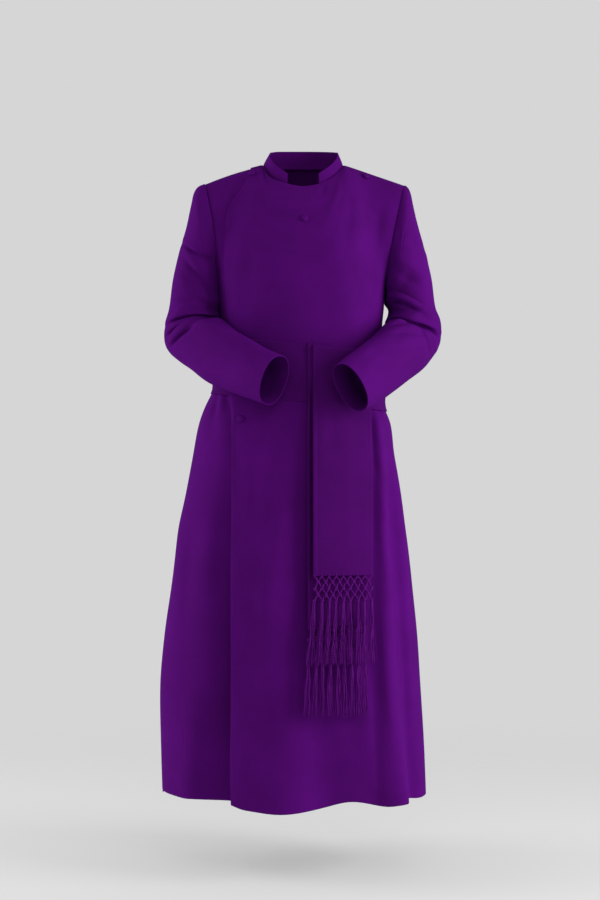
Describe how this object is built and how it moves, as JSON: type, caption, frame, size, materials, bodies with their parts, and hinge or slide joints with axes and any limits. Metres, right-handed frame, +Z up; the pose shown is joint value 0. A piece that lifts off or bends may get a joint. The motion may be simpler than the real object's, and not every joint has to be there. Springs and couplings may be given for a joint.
{
  "type": "cassock with cincture",
  "caption": "Long double-breasted purple cassock with a band collar, bent sleeves and a flared skirt, belted with a sash whose fringed ends hang in front.",
  "frame": {"origin": "middle of the neck hole, level with the neck ends of the shoulder seams, where the wearer's shoulders hold the cassock up", "axes": "+Z up towards the collar, -Y towards the front, +X towards the wearer's left"},
  "size_m": [0.6063, 0.4785, 1.3862],
  "materials": {
    "cassock_cloth": "smooth twill with a slight sheen",
    "cincture_cloth": "fine ribbed weave",
    "fringe_thread": "knotted cord and loose strands",
    "button_cover": "cloth-covered dome"
  },
  "bodies": {
    "root": {"front_left": "cassock_cloth", "front_right": "cassock_cloth", "back_left": "cassock_cloth", "back_right": "cassock_cloth", "sleeve_left": "cassock_cloth", "sleeve_right": "cassock_cloth", "collar": "cassock_cloth", "cincture_band": "cincture_cloth", "cincture_end_front": "cincture_cloth", "cincture_end_rear": "cincture_cloth", "fringe_front": "fringe_thread", "fringe_rear": "fringe_thread", "button_neck": "button_cover", "button_waist": "button_cover", "button_shoulder_left": "button_cover", "button_shoulder_right": "button_cover"}
  },
  "joints": []
}
